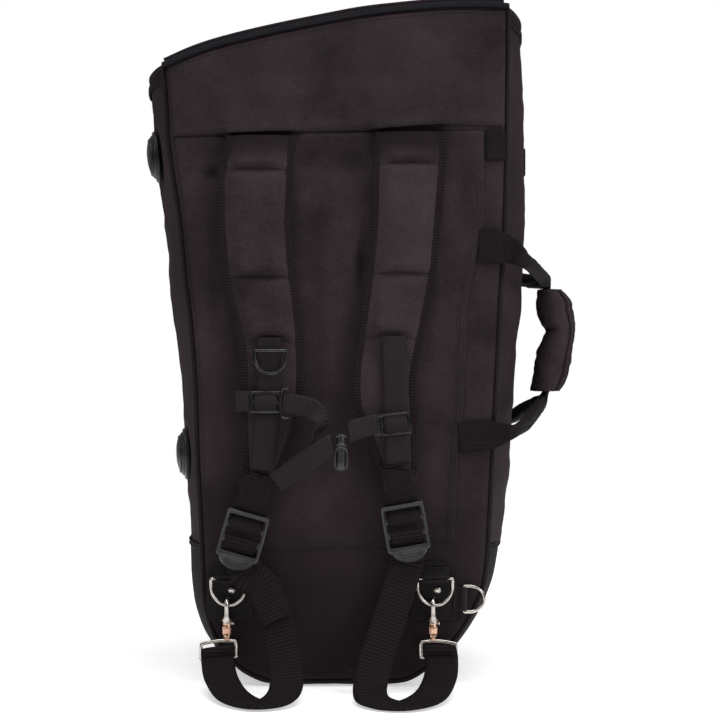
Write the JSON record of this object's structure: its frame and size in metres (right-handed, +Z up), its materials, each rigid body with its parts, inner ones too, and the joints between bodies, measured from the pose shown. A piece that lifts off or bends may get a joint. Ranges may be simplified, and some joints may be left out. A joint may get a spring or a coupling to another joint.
{
  "type": "euphonium gig bag",
  "caption": "Upright padded gig bag for a euphonium, tapering to its base, with a hinged zip lid, shoulder straps joined by a chest strap, side carry handle, feet and strap rings.",
  "frame": {"origin": "centre of the flat rest area under the base", "axes": "+Z up through the lid, strap side (the back panel) faces -Y, carry handle on the +X side"},
  "size_m": [0.498, 0.4888, 0.7681],
  "materials": {
    "nylon_shell": "tight plain-weave ballistic nylon, matt, with a faint sheen",
    "boot_cloth": "coated heavy nylon, slightly smoother than the shell",
    "webbing": "ribbed woven polypropylene webbing",
    "edge_binding": "woven binding and piping tape",
    "zip_tape": "coated zip tape with coil teeth",
    "foam_lining": "soft brushed lining over foam",
    "patch_leather": "black grained leather, stitched round the edge",
    "nickel": "bright nickel plate",
    "dark_metal": "gunmetal grey satin",
    "moulded_plastic": "black moulded acetal, satin gloss",
    "foot_rubber": "hard moulded rubber, slightly glossy"
  },
  "bodies": {
    "root": {"back_panel": "nylon_shell", "front_panel": "nylon_shell", "left_gusset": "nylon_shell", "right_gusset": "nylon_shell", "base_boot": "boot_cloth", "piping_back": "edge_binding", "piping_front": "edge_binding", "strap_sleeve_panel": "nylon_shell", "base_foam_block": "foam_lining", "bell_pad": "foam_lining", "lid_zip_tape": "zip_tape", "front_pocket": "nylon_shell", "pocket_zip_tape": "zip_tape", "side_foot_upper_back": "foot_rubber", "side_foot_upper_front": "foot_rubber", "side_foot_lower_back": "foot_rubber", "side_foot_lower_front": "foot_rubber", "handle_strap_back": "webbing", "handle_strap_front": "webbing", "ring_patch_left": "patch_leather", "ring_patch_right": "patch_leather", "patch_rivet_left": "nickel", "patch_rivet_right": "nickel", "hook_eye_left": "nickel", "hook_eye_right": "nickel", "side_tab_lower": "webbing", "side_tab_upper": "webbing", "lower_webbing_left": "webbing", "lower_webbing_right": "webbing"},
    "lid": {"lid_panel": "nylon_shell"},
    "lid_slider_left": {"lid_zip_slider_left": "dark_metal"},
    "lid_pull_left": {"lid_zip_pull_left": "dark_metal"},
    "lid_slider_right": {"lid_zip_slider_right": "dark_metal"},
    "lid_pull_right": {"lid_zip_pull_right": "dark_metal"},
    "pocket_slider": {"pocket_zip_slider": "dark_metal"},
    "pocket_pull": {"pocket_zip_pull": "dark_metal"},
    "handle": {"handle_grip": "nylon_shell"},
    "strap_left": {"shoulder_pad_left": "nylon_shell", "pad_webbing_left": "webbing", "strap_end_tab_left": "webbing"},
    "strap_right": {"shoulder_pad_right": "nylon_shell", "pad_webbing_right": "webbing", "strap_end_tab_right": "webbing"},
    "lock_left": {"ladder_lock_left": "moulded_plastic"},
    "lock_right": {"ladder_lock_right": "moulded_plastic"},
    "strap_ring": {"strap_d_ring": "dark_metal"},
    "chest_left": {"chest_slider_left": "dark_metal", "chest_webbing_left": "webbing"},
    "chest_right": {"chest_slider_right": "dark_metal", "chest_webbing_right": "webbing", "buckle_socket": "moulded_plastic"},
    "plug": {"buckle_plug": "moulded_plastic"},
    "ring_left": {"d_ring_left": "nickel"},
    "ring_right": {"d_ring_right": "nickel"},
    "hook_left": {"snap_hook_left": "nickel"},
    "hook_right": {"snap_hook_right": "nickel"},
    "gate_left": {"hook_gate_left": "nickel"},
    "gate_right": {"hook_gate_right": "nickel"},
    "ring_side_lower": {"side_ring_lower": "nickel"},
    "ring_side_upper": {"side_ring_upper": "nickel"}
  },
  "joints": [
    {"name": "lid_hinge", "type": "hinge", "parent": "root", "child": "lid", "pos_m": [0, -0.125, 0.726], "axis": [0.9836, 0, 0.1805], "range_deg": [0, 110]},
    {"name": "lid_zip_left", "type": "slide", "parent": "root", "child": "lid_slider_left", "axis": [0.9775, 0.0224, 0.2097], "range_m": [-0.09, 0]},
    {"name": "lid_pull_left", "type": "hinge", "parent": "lid_slider_left", "child": "lid_pull_left", "pos_m": [-0.009, 0.21305, 0.72706], "axis": [1, 0, 0], "range_deg": [0, 100]},
    {"name": "lid_zip_right", "type": "slide", "parent": "root", "child": "lid_slider_right", "axis": [0.9924, 0.0131, 0.1224], "range_m": [0, 0.09]},
    {"name": "lid_pull_right", "type": "hinge", "parent": "lid_slider_right", "child": "lid_pull_right", "pos_m": [0.009, 0.21341, 0.73044], "axis": [1, 0, 0], "range_deg": [0, 100]},
    {"name": "pocket_zip", "type": "slide", "parent": "root", "child": "pocket_slider", "axis": [0.9954, 0.0102, 0.0954], "range_m": [0, 0.21]},
    {"name": "pocket_pull", "type": "hinge", "parent": "pocket_slider", "child": "pocket_pull", "pos_m": [-0.104, 0.2177, 0.53634], "axis": [1, 0, 0], "range_deg": [0, 100]},
    {"name": "handle_swing", "type": "hinge", "parent": "root", "child": "handle", "pos_m": [0.196, 0.015, 0.382], "axis": [0, 0, 1], "range_deg": [-25, 25], "deforming": ["handle_strap_back", "handle_strap_front"]},
    {"name": "strap_swing_left", "type": "hinge", "parent": "root", "child": "strap_left", "pos_m": [0, -0.131, 0.607], "axis": [-1, 0, 0], "range_deg": [0, 12], "deforming": ["lower_webbing_left"]},
    {"name": "strap_swing_right", "type": "hinge", "parent": "root", "child": "strap_right", "pos_m": [0, -0.131, 0.607], "axis": [-1, 0, 0], "range_deg": [0, 12], "deforming": ["lower_webbing_right"]},
    {"name": "lock_tilt_left", "type": "hinge", "parent": "strap_left", "child": "lock_left", "pos_m": [-0.09716, -0.154, 0.178], "axis": [-0.9627, 0, 0.2707], "range_deg": [0, 10], "deforming": ["strap_end_tab_left"]},
    {"name": "lock_tilt_right", "type": "hinge", "parent": "strap_right", "child": "lock_right", "pos_m": [0.0753, -0.154, 0.1872], "axis": [-0.9854, 0, -0.1701], "range_deg": [0, 10], "deforming": ["strap_end_tab_right"]},
    {"name": "strap_ring_pivot", "type": "hinge", "parent": "strap_left", "child": "strap_ring", "pos_m": [-0.069, -0.1602, 0.37], "axis": [-1, 0, 0], "range_deg": [0, 110]},
    {"name": "chest_slide_left", "type": "slide", "parent": "strap_left", "child": "chest_left", "axis": [0, 0, 1], "range_m": [-0.018, 0.014], "deforming": ["chest_webbing_left"]},
    {"name": "chest_slide_right", "type": "slide", "parent": "strap_right", "child": "chest_right", "axis": [0, 0, 1], "range_m": [-0.018, 0.014]},
    {"name": "buckle_release", "type": "slide", "parent": "chest_left", "child": "plug", "axis": [0, 0, 1], "range_m": [0, 0.02], "deforming": ["chest_webbing_left"]},
    {"name": "d_ring_pivot_left", "type": "hinge", "parent": "root", "child": "ring_left", "pos_m": [-0.116, -0.139, 0.121], "axis": [-1, 0, 0], "range_deg": [-4, 4]},
    {"name": "hook_swivel_left", "type": "hinge", "parent": "root", "child": "hook_left", "pos_m": [-0.1175, -0.1405, 0.0921], "axis": [0, 0, 1], "range_deg": [-12, 12]},
    {"name": "gate_left", "type": "hinge", "parent": "hook_left", "child": "gate_left", "pos_m": [-0.1175, -0.1328, 0.0766], "axis": [1, 0, 0], "range_deg": [0, 18], "stiffness_Nm_per_rad": 0.001, "springref_deg": -17.19},
    {"name": "d_ring_pivot_right", "type": "hinge", "parent": "root", "child": "ring_right", "pos_m": [0.1095, -0.139, 0.121], "axis": [-1, 0, 0], "range_deg": [-4, 4]},
    {"name": "hook_swivel_right", "type": "hinge", "parent": "root", "child": "hook_right", "pos_m": [0.107, -0.1405, 0.0921], "axis": [0, 0, 1], "range_deg": [-12, 12]},
    {"name": "gate_right", "type": "hinge", "parent": "hook_right", "child": "gate_right", "pos_m": [0.107, -0.1328, 0.0766], "axis": [1, 0, 0], "range_deg": [0, 18], "stiffness_Nm_per_rad": 0.001, "springref_deg": -17.19},
    {"name": "side_ring_lower_pivot", "type": "hinge", "parent": "root", "child": "ring_side_lower", "pos_m": [0.1415, -0.1316, 0.098], "axis": [0, 0, -1], "range_deg": [0, 110]},
    {"name": "side_ring_upper_pivot", "type": "hinge", "parent": "root", "child": "ring_side_upper", "pos_m": [0.22244, 0.084, 0.597], "axis": [0, 0, -1], "range_deg": [0, 120]}
  ],
  "couplings": [
    {"joint": "strap_swing_right", "follows": "strap_swing_left", "ratio": 1},
    {"joint": "chest_slide_right", "follows": "chest_slide_left", "ratio": 1}
  ]
}
